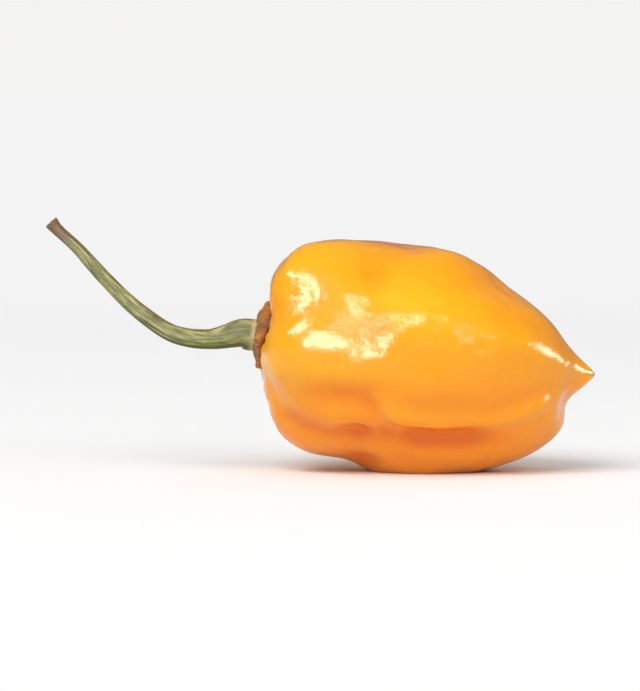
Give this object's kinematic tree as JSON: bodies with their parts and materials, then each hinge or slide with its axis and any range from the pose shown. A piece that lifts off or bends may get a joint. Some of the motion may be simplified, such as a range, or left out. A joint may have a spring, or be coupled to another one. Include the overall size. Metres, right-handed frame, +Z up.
{
  "type": "habanero pepper",
  "caption": "Ripe orange habanero chili pepper as picked, a lobed pod with a pointed tip, a brown calyx and a bent green stem, lying on its side on a small flat spot.",
  "frame": {"origin": "middle of the small flat spot under the pod, on the surface that it lies on", "axes": "+X from the stem end towards the pod's tip, +Z up, -Y towards the side that the picture shows"},
  "size_m": [0.0757, 0.031, 0.0347],
  "materials": {
    "pod_skin": null,
    "calyx": null,
    "stem": null
  },
  "bodies": {
    "root": {"pod": "pod_skin", "calyx": "calyx", "stem": "stem"}
  },
  "joints": []
}
